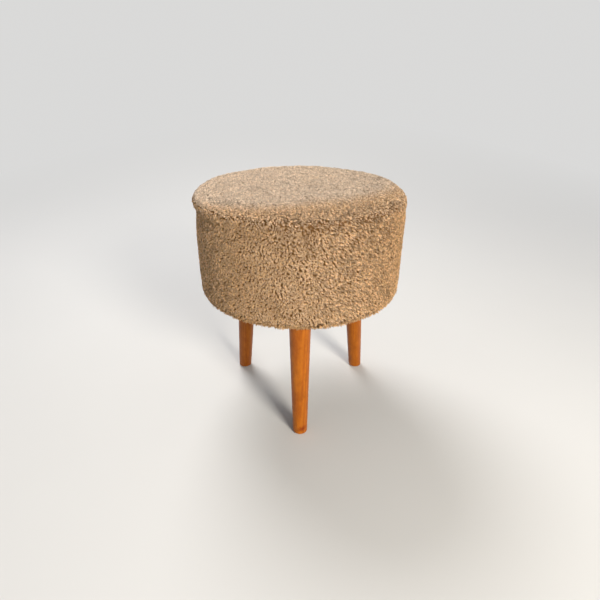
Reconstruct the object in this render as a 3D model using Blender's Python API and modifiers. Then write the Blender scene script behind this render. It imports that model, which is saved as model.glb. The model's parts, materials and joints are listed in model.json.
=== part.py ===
# Round upholstered pouf on three splayed wooden legs that screw into plates under its base.
# Metres, +Z up. The origin is on the floor under the middle of the seat, and the front leg is towards -Y.
import math

import bmesh
import bpy
from mathutils import Matrix, Vector

# Gap left between pieces that touch, and the finest distance at which points are one.
FIT_GAP = 0.0003
MERGE = 0.00001

# Upholstered drum, outside.
DRUM_RADIUS = 0.180  # to the tips of the pile, halfway up the side
DRUM_HEIGHT = 0.1775  # from the cover's underside to its rim
RIM_SWELL = 0.0014  # the side leans out by this at the rim and in by this at the base
SEAT_CROWN = 0.004  # the middle of the seat above its rim
RIM_ROUND = 0.016
BASE_ROUND = 0.013
SEAM_BELOW_RIM = 0.008  # from the end of the rim's round down to the seam
SEAM_DIP = 0.002
SEAM_SPREAD = 0.004  # half the width of the crease at the seam
STITCH_RADIUS = 0.0006

# Layers of the drum, from the outside in.
COVER_THICK = 0.005  # pile and backing
WADDING_THICK = 0.006
SEAT_FOAM_THICK = 0.040
SIDE_FOAM_THICK = 0.010
WALL_THICK = 0.003
WALL_SLIT = 0.001  # where the ends of the bent wall meet
SEAT_BOARD_THICK = 0.012
BASE_BOARD_THICK = 0.018
POST_SIDE = 0.028
POST_COUNT = 6
HEM_CLEAR = 0.004  # from the leg plates out to the raw edge of the cover's hem
DUST_THICK = 0.0008
DUST_LAP = 0.010  # of the dust cover over the hem

# Legs.
LEG_HEIGHT = 0.2355  # from the floor to the cover's underside
LEG_INSET = 0.060  # from the drum's side in to a leg's axis, at the cover's underside
LEG_SPLAY = math.radians(4.69)
LEG_TOP_RADIUS = 0.0188
LEG_FOOT_RADIUS = 0.0129
LEG_ROUND = 0.0025
PAD_RADIUS = 0.0085
PAD_THICK = 0.0012
BOLT_RADIUS = 0.004
BOLT_IN_LEG = 0.032
BOLT_ABOVE_PLATE = 0.0125
BOLT_CHAMFER = 0.001
BOLT_POINT = 0.008
BOLT_HOLE_RADIUS = 0.007  # in the base board and the dust cover
THREAD_GAP = 0.0004
WASHER_RADIUS = 0.012
WASHER_THICK = 0.0016

# Leg plates and wood screws.
PLATE_SIDE = 0.056
PLATE_THICK = 0.0025
PLATE_CORNER = 0.006
BOSS_RADIUS = 0.014
BOSS_STEP = 0.002  # least height of the boss under its plate
SCREW_EDGE = 0.0075  # from a plate's edges in to its screws
SHANK_RADIUS = 0.0019
HEAD_RADIUS = 0.0038
HEAD_HEIGHT = 0.0022
TIP_LENGTH = 0.004
PLATE_SCREW_BITE = 0.012  # of a plate screw into the base board
POST_SCREW_BITE = 0.025  # of a post screw into its post

# Facets.
DRUM_SIDES = 48
LEG_SIDES = 32
BOLT_SIDES = 16
SCREW_SIDES = 8
RIM_STEPS = 5
CROWN_STEPS = 4
STITCH_SIDES = 5

# Legs by name, with their turn from the front, anticlockwise from above.
LEG_TURNS = {"front": 0, "rear_right": 120, "rear_left": 240}

# Heights, from the floor up.
plate_drop = 2 * FIT_GAP + DUST_THICK
cover_under = LEG_HEIGHT
rim_level = cover_under + DRUM_HEIGHT
rim_centre = rim_level - RIM_ROUND
seam_level = rim_centre - SEAM_BELOW_RIM
board_under = cover_under + COVER_THICK + FIT_GAP
base_top = board_under + BASE_BOARD_THICK
seat_top = rim_level - COVER_THICK - WADDING_THICK - SEAT_FOAM_THICK - 3 * FIT_GAP
seat_under = seat_top - SEAT_BOARD_THICK
plate_top = board_under - plate_drop
plate_under = plate_top - PLATE_THICK

# Radii of the drum's layers. A fillet can't be larger than the soft wall that it rounds.
wall_outer = DRUM_RADIUS - RIM_SWELL - COVER_THICK - SIDE_FOAM_THICK - 2 * FIT_GAP
wall_inner = wall_outer - WALL_THICK
board_radius = wall_inner - FIT_GAP
base_round = min(BASE_ROUND, COVER_THICK + SIDE_FOAM_THICK)
rim_edge = DRUM_RADIUS + RIM_SWELL - RIM_ROUND
base_edge = DRUM_RADIUS - RIM_SWELL - base_round
facet_fit = math.cos(math.pi / DRUM_SIDES)
post_circle = math.sqrt((board_radius * facet_fit) ** 2 - (POST_SIDE / 2) ** 2) - POST_SIDE / 2


def leg_circle(height):
    # Distance of a leg's axis from the middle, at a height above the floor.
    return DRUM_RADIUS - LEG_INSET + (LEG_HEIGHT - height) * math.tan(LEG_SPLAY)


plate_circle = leg_circle(plate_under)
plate_reach = math.hypot(plate_circle + PLATE_SIDE / 2, PLATE_SIDE / 2)
hem_inner = plate_reach + HEM_CLEAR
boss_height = BOSS_STEP + BOSS_RADIUS * math.tan(LEG_SPLAY)
seat_point = plate_under - boss_height  # height of the face that a leg screws up against
leg_top = -WASHER_THICK - 2 * FIT_GAP  # along the leg's axis from that face
bolt_top = boss_height + PLATE_THICK + BOLT_ABOVE_PLATE  # along the same axis


def side_radius(height):
    lean = 2 * (height - cover_under) / DRUM_HEIGHT - 1
    return DRUM_RADIUS + RIM_SWELL * lean


def crown(radius):
    return SEAT_CROWN * max(0.0, 1 - (radius / rim_edge) ** 2)


def lining(radius):
    # Height of the inside of the top cover, over its crown and its rounded rim.
    if radius <= rim_edge:
        return rim_level - COVER_THICK + crown(radius)
    return rim_centre + math.sqrt((RIM_ROUND - COVER_THICK) ** 2 - (radius - rim_edge) ** 2)


def arc(centre, radius, start, end, steps):
    turns = [math.radians(start + (end - start) * i / steps) for i in range(steps + 1)]
    return [(centre[0] + radius * math.cos(t), centre[1] + radius * math.sin(t)) for t in turns]


def spread(last, steps):
    return [last * i / steps for i in range(steps + 1)]


# Scene, collections and finishes.
for old in list(bpy.data.objects):
    bpy.data.objects.remove(old, do_unlink=True)

parts = bpy.data.collections.new("pouf")
cutters = bpy.data.collections.new("cutters")
for group in (parts, cutters):
    bpy.context.scene.collection.children.link(group)


def finish(name, colour, roughness, metallic=0.0):
    material = bpy.data.materials.new(name)
    material.use_nodes = True
    shader = material.node_tree.nodes["Principled BSDF"]
    shader.inputs["Base Color"].default_value = (*colour, 1)
    shader.inputs["Roughness"].default_value = roughness
    shader.inputs["Metallic"].default_value = metallic
    material.diffuse_color = (*colour, 1)
    return material


plush = finish("tan plush", (0.45, 0.32, 0.22), 0.95)
stained_wood = finish("stained beech", (0.38, 0.14, 0.045), 0.45)
pale_wood = finish("pine", (0.62, 0.44, 0.26), 0.7)
panel = finish("plywood", (0.56, 0.42, 0.27), 0.7)
hardboard = finish("hardboard", (0.28, 0.17, 0.09), 0.65)
foam = finish("foam", (0.75, 0.68, 0.48), 0.9)
wadding = finish("wadding", (0.82, 0.82, 0.8), 0.95)
lining_cloth = finish("black nonwoven", (0.02, 0.02, 0.022), 0.9)
zinc = finish("zinc plate", (0.55, 0.55, 0.56), 0.35, 1.0)
felt = finish("brown felt", (0.1, 0.06, 0.04), 0.95)
thread = finish("tan thread", (0.4, 0.28, 0.18), 0.8)


def place(obj, material, matrix=Matrix(), parent=None):
    # The matrix is in the parent's frame, or in the world's where there is none.
    obj.parent = parent
    obj.matrix_basis = matrix
    obj.data.materials.append(material)
    parts.objects.link(obj)
    return obj


def as_cutter(obj, matrix=Matrix(), parent=None):
    obj.parent = parent
    obj.matrix_basis = matrix
    obj.hide_render = True
    obj.display_type = 'WIRE'
    cutters.objects.link(obj)
    return obj


def mesh_object(name, bm, smooth=True):
    mesh = bpy.data.meshes.new(name)
    bm.to_mesh(mesh)
    bm.free()
    if smooth:
        mesh.shade_smooth()
        mesh.set_sharp_from_angle(angle=math.radians(35))
    return bpy.data.objects.new(name, mesh)


def turned(name, profile, sides):
    # A profile of (radius, height) points, swept round Z. It is a loop unless it starts on the axis.
    mesh = bpy.data.meshes.new(name)
    last = len(profile) - 1
    edges = [(i, i + 1) for i in range(last)]
    if profile[0][0] > 0:
        edges.append((last, 0))
    mesh.from_pydata([(r, 0, z) for r, z in profile], edges, [])
    obj = bpy.data.objects.new(name, mesh)
    sweep = obj.modifiers.new("Sweep", 'SCREW')
    sweep.axis = 'Z'
    sweep.angle = 2 * math.pi
    sweep.steps = sides
    sweep.render_steps = sides
    sweep.use_merge_vertices = True
    sweep.merge_threshold = MERGE
    return obj


def box(name, size):
    bm = bmesh.new()
    bmesh.ops.create_cube(bm, size=1)
    bmesh.ops.scale(bm, vec=size, verts=bm.verts)
    return mesh_object(name, bm, smooth=False)


def cylinder(name, low, high, radius, sides, top_radius=None):
    # Along Z from low to high, with the radius at its low end.
    bm = bmesh.new()
    bmesh.ops.create_cone(
        bm, cap_ends=True, segments=sides, radius1=radius,
        radius2=radius if top_radius is None else top_radius, depth=high - low,
    )
    bmesh.ops.translate(bm, vec=(0, 0, (low + high) / 2), verts=bm.verts)
    return mesh_object(name, bm)


def cut_off(obj, point, outward):
    # Cuts the mesh with a plane, drops what lies outward of it and caps the cut.
    bm = bmesh.new()
    bm.from_mesh(obj.data)
    cut = bmesh.ops.bisect_plane(
        bm, geom=bm.verts[:] + bm.edges[:] + bm.faces[:], plane_co=point, plane_no=outward,
        clear_outer=True,
    )
    rim = [item for item in cut["geom_cut"] if isinstance(item, bmesh.types.BMEdge)]
    bmesh.ops.contextual_create(bm, geom=rim)
    bmesh.ops.recalc_face_normals(bm, faces=bm.faces)
    bm.to_mesh(obj.data)
    bm.free()


def combine(target, operation, *others):
    for other in others:
        boolean = target.modifiers.new(other.name, 'BOOLEAN')
        boolean.operation = operation
        boolean.solver = 'EXACT'
        boolean.object = other


def round_hole(radius, sides):
    # Radius of a faceted hole whose flats clear a pin of this radius.
    return radius / math.cos(math.pi / sides)


def turn(degrees):
    return Matrix.Rotation(math.radians(degrees), 4, 'Z')


# Cover: a crowned top with a rounded rim, and a band that turns under the base.
def cover_top():
    outside = [(r, rim_level + crown(r)) for r in spread(rim_edge, CROWN_STEPS)[:-1]]
    outside += arc((rim_edge, rim_centre), RIM_ROUND, 90, 0, RIM_STEPS)
    outside.append((side_radius(seam_level), seam_level + SEAM_SPREAD))
    outside.append((side_radius(seam_level) - SEAM_DIP, seam_level + FIT_GAP / 2))
    inside = [(side_radius(seam_level) - COVER_THICK, seam_level + FIT_GAP / 2)]
    inside += arc((rim_edge, rim_centre), RIM_ROUND - COVER_THICK, 0, 90, RIM_STEPS - 2)
    inside += [(r, lining(r)) for r in reversed(spread(rim_edge, CROWN_STEPS - 1)[:-1])]
    return turned("cover_top", outside + inside, DRUM_SIDES)


def cover_band():
    low_centre = (base_edge, cover_under + base_round)
    outside = [
        (side_radius(seam_level) - SEAM_DIP, seam_level - FIT_GAP / 2),
        (side_radius(seam_level), seam_level - SEAM_SPREAD),
    ]
    outside += arc(low_centre, base_round, 0, -90, RIM_STEPS)
    outside.append((hem_inner, cover_under))
    inside = [(hem_inner, cover_under + COVER_THICK)]
    inside += arc(low_centre, base_round - COVER_THICK, -90, 0, RIM_STEPS - 2)
    inside.append((side_radius(seam_level) - COVER_THICK, seam_level - FIT_GAP / 2))
    return turned("cover_band", outside + inside, DRUM_SIDES)


def rim_stitching():
    # The thread lies in the crease, clear of its two slopes.
    slope = math.atan2(SEAM_SPREAD, SEAM_DIP)
    depth = SEAM_DIP - (STITCH_RADIUS + FIT_GAP) / math.sin(slope)
    ring = arc((side_radius(seam_level) - depth, seam_level), STITCH_RADIUS, 90, 90 - 360, STITCH_SIDES)
    return turned("rim_stitching", ring[:-1], DRUM_SIDES)


# Soft filling under the cover.
def seat_wadding():
    rings = spread(wall_outer, CROWN_STEPS)
    top = [(r, lining(r) - FIT_GAP) for r in rings]
    under = [(r, height - WADDING_THICK) for r, height in reversed(top)]
    return turned("seat_wadding", top + under, DRUM_SIDES)


def seat_foam():
    top = [(r, lining(r) - WADDING_THICK - 2 * FIT_GAP) for r in spread(wall_outer, CROWN_STEPS)]
    low = seat_top + FIT_GAP
    return turned("seat_foam", top + [(wall_outer, low), (0, low)], DRUM_SIDES)


def side_foam():
    inner = wall_outer + FIT_GAP
    rim_inside = RIM_ROUND - COVER_THICK - FIT_GAP
    low_inside = base_round - COVER_THICK - FIT_GAP
    start = math.degrees(math.acos(min(1.0, max(0.0, (inner - rim_edge) / rim_inside))))
    outside = [(inner, lining(inner) - FIT_GAP)]
    outside += arc((rim_edge, rim_centre), rim_inside, start, 0, RIM_STEPS - 2)
    outside += arc((base_edge, cover_under + base_round), low_inside, 0, -90, RIM_STEPS - 2)
    outside.append((inner, board_under))
    return turned("side_foam", outside, DRUM_SIDES)


# Frame of the drum: two boards, posts between them and a bent wall round their edges.
def drum_wall():
    profile = [
        (wall_inner, seat_top),
        (wall_outer, seat_top),
        (wall_outer, board_under),
        (wall_inner, board_under),
    ]
    wall = turned("drum_wall", profile, DRUM_SIDES)
    slit = box("wall_slit", (WALL_SLIT, 4 * WALL_THICK, 2 * DRUM_HEIGHT))
    as_cutter(slit, Matrix.Translation((0, wall_outer - WALL_THICK / 2, seat_under)))
    combine(wall, 'DIFFERENCE', slit)
    return wall


def dust_cover():
    lap_edge = hem_inner + DUST_LAP
    upper = board_under - FIT_GAP
    lower = cover_under - FIT_GAP
    top = [(0, upper), (plate_reach + FIT_GAP, upper), (hem_inner - FIT_GAP, lower), (lap_edge, lower)]
    under = [(r, height - DUST_THICK) for r, height in reversed(top)]
    return turned("dust_cover", top + under, DRUM_SIDES)


def countersunk_screw(name, length, gap=0.0, overrun=0.0):
    # Flat of the head at 0 and the tip at length. A hole is the same screw, grown by its gap.
    profile = [
        (0, length + gap),
        (SHANK_RADIUS + gap, length + gap - TIP_LENGTH),
        (SHANK_RADIUS + gap, HEAD_HEIGHT),
        (HEAD_RADIUS + gap, 0),
    ]
    if overrun:
        profile.append((HEAD_RADIUS + gap, -overrun))
    profile.append((0, -overrun))
    return turned(name, profile, SCREW_SIDES)


def pan_head_screw(name, length):
    # Seat of the head at 0 and the tip at length.
    profile = [
        (0, length),
        (SHANK_RADIUS, length - TIP_LENGTH),
        (SHANK_RADIUS, 0),
        (HEAD_RADIUS, 0),
        (HEAD_RADIUS, -HEAD_HEIGHT / 2),
        (HEAD_RADIUS / 2, -HEAD_HEIGHT),
        (0, -HEAD_HEIGHT),
    ]
    return turned(name, profile, SCREW_SIDES)


base_board = place(cylinder("base_board", board_under, base_top, board_radius, DRUM_SIDES), panel)
seat_board = place(cylinder("seat_board", seat_under, seat_top, board_radius, DRUM_SIDES), panel)
place(drum_wall(), hardboard)
place(seat_foam(), foam)
place(side_foam(), foam)
place(seat_wadding(), wadding)
place(cover_top(), plush)
place(cover_band(), plush)
place(rim_stitching(), thread)
dust_sheet = place(dust_cover(), lining_cloth)


def post_with_screws(number):
    # A post between the boards, with one screw up into it and one down.
    at = turn(360 * (number - 0.5) / POST_COUNT) @ Matrix.Translation((0, -post_circle, 0))
    length = seat_under - base_top - 2 * FIT_GAP
    post = box(f"post_{number}", (POST_SIDE, POST_SIDE, length))
    place(post, pale_wood, at @ Matrix.Translation((0, 0, base_top + FIT_GAP + length / 2)))
    upside_down = Matrix.Rotation(math.pi, 4, 'X')
    ends = {
        "lower": (base_board, BASE_BOARD_THICK, at @ Matrix.Translation((0, 0, board_under))),
        "upper": (seat_board, SEAT_BOARD_THICK, at @ Matrix.Translation((0, 0, seat_top)) @ upside_down),
    }
    for end, (board, thick, matrix) in ends.items():
        name = f"post_screw_{end}_{number}"
        place(countersunk_screw(name, thick + POST_SCREW_BITE), zinc, matrix)
        hole = countersunk_screw(f"{name}_hole", thick + POST_SCREW_BITE, FIT_GAP, HEAD_HEIGHT)
        as_cutter(hole, matrix)
        combine(board, 'DIFFERENCE', hole)
        combine(post, 'DIFFERENCE', hole)


for number in range(1, POST_COUNT + 1):
    post_with_screws(number)


# Legs: each turns on its own tilted axis, which its seat empty carries as local Z.
def axis_point(degrees, height):
    return turn(degrees) @ Vector((0, -leg_circle(height), height))


def seat_frame(degrees):
    tilt = Matrix.Rotation(-LEG_SPLAY, 4, 'X')
    return Matrix.Translation(axis_point(degrees, seat_point)) @ turn(degrees) @ tilt


def leg_seat(name, degrees):
    seat = bpy.data.objects.new(f"leg_seat_{name}", None)
    seat.matrix_basis = seat_frame(degrees)
    parts.objects.link(seat)
    return seat


def cut_level(obj, degrees, height, outward):
    # Cuts a piece that stands in its leg's frame with a plane that is level with the floor.
    to_seat = seat_frame(degrees).inverted()
    cut_off(obj, to_seat @ axis_point(degrees, height), to_seat.to_3x3() @ Vector((0, 0, outward)))


def leg_plate(name, degrees, seat):
    # A flat plate with a slanted boss, bored for the bolt along the leg's axis.
    bm = bmesh.new()
    bmesh.ops.create_cube(bm, size=1)
    bmesh.ops.scale(bm, vec=(PLATE_SIDE, PLATE_SIDE, PLATE_THICK), verts=bm.verts)
    corners = [e for e in bm.edges if abs(e.verts[0].co.z - e.verts[1].co.z) > PLATE_THICK / 2]
    bmesh.ops.bevel(bm, geom=corners, offset=PLATE_CORNER, segments=3, profile=0.5, affect='EDGES')
    plate = mesh_object(f"leg_plate_{name}", bm)
    middle = plate_under + PLATE_THICK / 2
    place(plate, zinc, turn(degrees) @ Matrix.Translation((0, -plate_circle, middle)))

    boss = cylinder(f"boss_{name}", 0, 2 * boss_height + PLATE_THICK, BOSS_RADIUS, BOLT_SIDES)
    cut_level(boss, degrees, middle, 1)
    as_cutter(boss, parent=seat)
    bore_radius = round_hole(BOLT_RADIUS + THREAD_GAP, BOLT_SIDES)
    bore = cylinder(f"bore_{name}", -boss_height, 3 * boss_height + PLATE_THICK, bore_radius, BOLT_SIDES)
    as_cutter(bore, parent=seat)
    combine(plate, 'UNION', boss)
    combine(plate, 'DIFFERENCE', bore)

    room_top = bolt_top + 2 * BASE_BOARD_THICK
    room = cylinder(f"bolt_room_{name}", boss_height, room_top, BOLT_HOLE_RADIUS, BOLT_SIDES)
    as_cutter(room, parent=seat)
    combine(base_board, 'DIFFERENCE', room)
    combine(dust_sheet, 'DIFFERENCE', room)
    return plate


def plate_screws(name, degrees, plate):
    reach = PLATE_SIDE / 2 - SCREW_EDGE
    length = PLATE_THICK + plate_drop + FIT_GAP + PLATE_SCREW_BITE
    corners = [(-reach, -reach), (reach, -reach), (reach, reach), (-reach, reach)]
    for number, (x, y) in enumerate(corners, 1):
        at = turn(degrees) @ Matrix.Translation((x, y - plate_circle, plate_under - FIT_GAP))
        screw = place(pan_head_screw(f"plate_screw_{name}_{number}", length), zinc, at)
        hole = cylinder(
            f"{screw.name}_hole", -HEAD_HEIGHT, length + FIT_GAP,
            round_hole(SHANK_RADIUS + FIT_GAP, SCREW_SIDES), SCREW_SIDES,
        )
        as_cutter(hole, at)
        for piece in (plate, dust_sheet, base_board):
            combine(piece, 'DIFFERENCE', hole)


def wooden_leg(name, degrees, seat):
    # A straight taper, cut level over its foot pad, with its ends rounded and a pilot hole for the bolt.
    to_floor = seat_point / math.cos(LEG_SPLAY)
    taper = (LEG_TOP_RADIUS - LEG_FOOT_RADIUS) / (to_floor + leg_top)
    spare = LEG_FOOT_RADIUS
    end_radius = LEG_FOOT_RADIUS - taper * spare
    leg = cylinder(f"leg_{name}", -to_floor - spare, leg_top, end_radius, LEG_SIDES, LEG_TOP_RADIUS)
    cut_level(leg, degrees, PAD_THICK + FIT_GAP, -1)
    place(leg, stained_wood, parent=seat)
    rounding = leg.modifiers.new("Rounded ends", 'BEVEL')
    rounding.width = LEG_ROUND
    rounding.segments = 2
    rounding.limit_method = 'ANGLE'
    rounding.angle_limit = math.radians(50)

    hole_radius = round_hole(BOLT_RADIUS + FIT_GAP, BOLT_SIDES)
    pilot = cylinder(f"pilot_{name}", leg_top - BOLT_IN_LEG - FIT_GAP, -leg_top, hole_radius, BOLT_SIDES)
    as_cutter(pilot, parent=seat)
    combine(leg, 'DIFFERENCE', pilot)


def hanger_bolt(name, seat):
    lower_end = leg_top - BOLT_IN_LEG
    profile = [
        (0, bolt_top),
        (BOLT_RADIUS - BOLT_CHAMFER, bolt_top),
        (BOLT_RADIUS, bolt_top - BOLT_CHAMFER),
        (BOLT_RADIUS, lower_end + BOLT_POINT),
        (BOLT_CHAMFER, lower_end),
        (0, lower_end),
    ]
    place(turned(f"hanger_bolt_{name}", profile, BOLT_SIDES), zinc, parent=seat)


def leg_washer(name, seat):
    hole = round_hole(BOLT_RADIUS + THREAD_GAP, BOLT_SIDES)
    low = -FIT_GAP - WASHER_THICK
    profile = [(hole, -FIT_GAP), (WASHER_RADIUS, -FIT_GAP), (WASHER_RADIUS, low), (hole, low)]
    place(turned(f"leg_washer_{name}", profile, BOLT_SIDES), zinc, parent=seat)


def foot_pad(name, degrees, seat):
    pad = cylinder(f"foot_pad_{name}", -PAD_THICK, 0, PAD_RADIUS, BOLT_SIDES)
    level = Matrix.Translation(axis_point(degrees, PAD_THICK))
    place(pad, felt, seat_frame(degrees).inverted() @ level, seat)


for leg_name, leg_turn in LEG_TURNS.items():
    leg_axis = leg_seat(leg_name, leg_turn)
    metal_plate = leg_plate(leg_name, leg_turn, leg_axis)
    plate_screws(leg_name, leg_turn, metal_plate)
    wooden_leg(leg_name, leg_turn, leg_axis)
    hanger_bolt(leg_name, leg_axis)
    leg_washer(leg_name, leg_axis)
    foot_pad(leg_name, leg_turn, leg_axis)
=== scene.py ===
import json
import math

import bpy
import numpy as np
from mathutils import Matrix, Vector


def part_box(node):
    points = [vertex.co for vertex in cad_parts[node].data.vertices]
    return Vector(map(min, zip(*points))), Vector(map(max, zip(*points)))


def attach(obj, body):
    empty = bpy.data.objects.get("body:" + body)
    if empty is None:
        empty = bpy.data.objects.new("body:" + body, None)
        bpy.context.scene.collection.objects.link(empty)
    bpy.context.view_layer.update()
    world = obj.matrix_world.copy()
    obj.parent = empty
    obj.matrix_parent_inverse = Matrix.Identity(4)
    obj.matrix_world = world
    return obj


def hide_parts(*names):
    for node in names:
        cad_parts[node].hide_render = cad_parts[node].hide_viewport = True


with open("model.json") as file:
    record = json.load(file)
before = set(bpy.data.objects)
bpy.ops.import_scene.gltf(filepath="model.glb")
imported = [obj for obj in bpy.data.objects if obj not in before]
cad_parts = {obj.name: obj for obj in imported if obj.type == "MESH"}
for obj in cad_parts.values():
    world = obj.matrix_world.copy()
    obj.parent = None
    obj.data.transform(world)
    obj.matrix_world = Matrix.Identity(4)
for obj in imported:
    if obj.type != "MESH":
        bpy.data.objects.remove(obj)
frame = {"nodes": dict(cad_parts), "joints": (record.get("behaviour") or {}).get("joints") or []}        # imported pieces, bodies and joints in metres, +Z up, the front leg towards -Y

scene = bpy.context.scene
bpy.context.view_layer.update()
joints = {j["name"]: j for j in frame["joints"]}
legNames = ["front", "rear_right", "rear_left"]
fullTurn = 2 * np.pi
xWay, yWay, zWay = np.eye(3)


# numbers and directions

def unit(vectors):
    return vectors / np.linalg.norm(vectors, axis=-1, keepdims=True)


def squareTo(axis, vectors):
    return unit(vectors - axis * (vectors * axis).sum(-1, keepdims=True))


def between(low, high, share):
    return low + (high - low) * share


def smoothStep(x):
    x = np.clip(x, 0, 1)
    return x * x * (3 - 2 * x)


def fade(value, start, full):
    # 0 before the start and 1 past where it is full, smooth between; full may be the lower one
    return smoothStep((value - start) / (full - start))


def steps(count):
    return np.linspace(0, 1, count + 1)[:, None]


def circle(sides):
    return np.linspace(0, fullTurn, sides, endpoint=False)


def quarter(count):
    return np.linspace(0, np.pi / 2, count + 1)


def roundCorner(r, z, edge, quarters, count):
    # a quarter circle of radius edge about (r, z), from this many quarter turns on
    turn = quarters * np.pi / 2 + quarter(count)
    return np.stack([r + edge * np.cos(turn), z + edge * np.sin(turn)], -1)


def swung(turn, first, second):
    # directions turned by these angles from the first one towards the second
    return np.cos(turn)[..., None] * first + np.sin(turn)[..., None] * second


def turned(x, y, angle):
    c, s = np.cos(angle), np.sin(angle)
    return c * x - s * y, s * x + c * y


def atLevel(points, z):
    return points * [1, 1, 0] + [0, 0, z]


def boxMiddle(low, high):
    return np.array([(low.x + high.x) / 2, (low.y + high.y) / 2, 0])


def softNoise(points, wavelength, seed, count=16):
    # plane waves of about this wavelength in random directions and phases, summed to a deviation of 1
    rng = np.random.default_rng(seed)
    pull = unit(rng.normal(size=(count, 3))) * fullTurn / (wavelength * rng.uniform(0.7, 1.6, (count, 1)))
    return np.cos(points @ pull.T + rng.uniform(0, fullTurn, count)).sum(-1) / math.sqrt(count / 2)


# meshes

def numbered(shape):
    return np.arange(math.prod(shape)).reshape(shape)


def facesOut(points, faces):
    # signed volume of the fans of all faces; a negative one means that the faces look inwards
    volume = 0.0
    for group in faces:
        for k in range(1, group.shape[1] - 1):
            a, b, c = points[group[:, 0]], points[group[:, k]], points[group[:, k + 1]]
            volume += (a * np.cross(b, c)).sum()
    return faces if volume >= 0 else [group[:, ::-1] for group in faces]


def meshFrom(name, points, faces, turnOut=True):
    # faces come in groups of one size each; points that none of them uses are left out
    used = np.unique(np.concatenate([group.ravel() for group in faces]))
    points = points[used]
    faces = [np.searchsorted(used, group) for group in faces]
    if turnOut:
        faces = facesOut(points, faces)
    corners = np.concatenate([group.ravel() for group in faces])
    sizes = np.concatenate([np.full(len(group), group.shape[1]) for group in faces])
    mesh = bpy.data.meshes.new(name)
    mesh.vertices.add(len(points))
    mesh.vertices.foreach_set("co", points.astype(np.float32).ravel())
    mesh.loops.add(len(corners))
    mesh.loops.foreach_set("vertex_index", corners.astype(np.int32))
    mesh.polygons.add(len(sizes))
    mesh.polygons.foreach_set("loop_start", (np.cumsum(sizes) - sizes).astype(np.int32))
    mesh.update(calc_edges=True)
    mesh.shade_smooth()
    return mesh


def surfaceMesh(name, grid, ringRows=False, ringColumns=True, poles=(False, False), turnOut=True):
    # quads between neighbouring rows and columns of a grid of points; a pole is a row drawn to one point
    index = numbered(grid.shape[:2])
    if ringColumns:
        index = np.concatenate([index, index[:, :1]], 1)
    if ringRows:
        index = np.concatenate([index, index[:1]], 0)
    quads = np.stack([index[:-1, :-1], index[:-1, 1:], index[1:, 1:], index[1:, :-1]], -1)
    faces = [quads[int(poles[0]):len(quads) - int(poles[1])].reshape(-1, 4)]
    across = index.shape[1] - 1
    if poles[0]:
        faces.append(np.stack([index[0, :1].repeat(across), index[1, 1:], index[1, :-1]], -1))
    if poles[1]:
        faces.append(np.stack([index[-2, :-1], index[-2, 1:], index[-1, :1].repeat(across)], -1))
    return meshFrom(name, grid.reshape(-1, 3), faces, turnOut)


def rodsMesh(name, points):
    # closed rods, with points by rod, station along it and side: quads round the walls and a cap at each end
    index = numbered(points.shape[:3])
    after = np.roll(index, -1, 2)
    walls = np.stack([index[:, :-1], after[:, :-1], after[:, 1:], index[:, 1:]], -1).reshape(-1, 4)
    return meshFrom(name, points.reshape(-1, 3), [walls, index[:, 0, ::-1], index[:, -1]])


def axesAcross(axis, outward):
    # two directions square to the axis, the first as near as can be to outward, with first x second = axis
    first = squareTo(axis, outward)
    return first, np.cross(axis, first)


def lathe(radius, along, origin, axis, outward, sides):
    # a ring of points for each station: origin + along * axis + radius * (cos, sin) across the axis
    ring = swung(circle(sides), *axesAcross(axis, outward))
    return origin + along[:, None, None] * axis + radius[..., None] * ring


def latheMesh(name, profile, origin, axis, outward, sides):
    radius, along = profile.T
    grid = lathe(radius[:, None], along, origin, axis, outward, sides)
    return surfaceMesh(name, grid, ringRows=radius[0] > 0, poles=(radius[0] == 0, radius[-1] == 0))


def pointsOf(mesh):
    points = np.empty(len(mesh.vertices) * 3, np.float32)
    mesh.vertices.foreach_get("co", points)
    return points.reshape(-1, 3).astype(float)


def setAttribute(mesh, name, kind, field, values):
    made = mesh.attributes.new(name, kind, 'POINT')
    made.data.foreach_set(field, values.astype(np.float32).ravel())


def addPiece(mesh, look, body, slotName, *nodes):
    # the piece has its mesh's name, and stands for the nodes if there are any
    piece = bpy.data.objects.new(mesh.name, mesh)
    scene.collection.objects.link(piece)
    mesh.materials.append(look)
    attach(piece, body)
    if nodes:
        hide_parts(*nodes)
    return piece


# shader nodes

def plug(look, socket, value):
    if isinstance(value, bpy.types.NodeSocket):
        look.node_tree.links.new(value, socket)
    else:
        socket.default_value = (*value, 1) if socket.type == 'RGBA' and len(value) == 3 else value


def setInputs(look, values):
    shader = look.node_tree.nodes["Principled BSDF"]
    for key, value in values.items():
        plug(look, shader.inputs[key], value)


def newLook(name, roughness, specular=0.5, extra=None):
    look = bpy.data.materials.new(name)
    look.use_nodes = True
    setInputs(look, {"Roughness": roughness, "Specular IOR Level": specular, **(extra or {})})
    return look


def addNode(look, kind, inputs=None, **settings):
    made = look.node_tree.nodes.new("ShaderNode" + kind)
    for key, value in settings.items():
        setattr(made, key, value)
    for key, value in (inputs or {}).items():
        plug(look, made.inputs[key], value)
    return made


def mapped(look, vector, scale=(1, 1, 1), turn=(0, 0, 0), shift=(0, 0, 0)):
    return addNode(look, "Mapping", {"Vector": vector, "Location": shift, "Rotation": turn,
                                     "Scale": scale}).outputs["Vector"]


def objectPlace(look, scale=(1, 1, 1), turn=(0, 0, 0)):
    # object coordinates in metres, stretched and turned for the pattern that reads them
    return mapped(look, addNode(look, "TexCoord").outputs["Object"], scale, turn)


def lengthOf(look, vector):
    return addNode(look, "VectorMath", {0: vector}, operation='LENGTH').outputs["Value"]


def noise(look, vector, scale, detail=4.0, rough=0.55, twist=0.0):
    return addNode(look, "TexNoise", {"Vector": vector, "Scale": scale, "Detail": detail,
                                      "Roughness": rough, "Distortion": twist}).outputs["Fac"]


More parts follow.
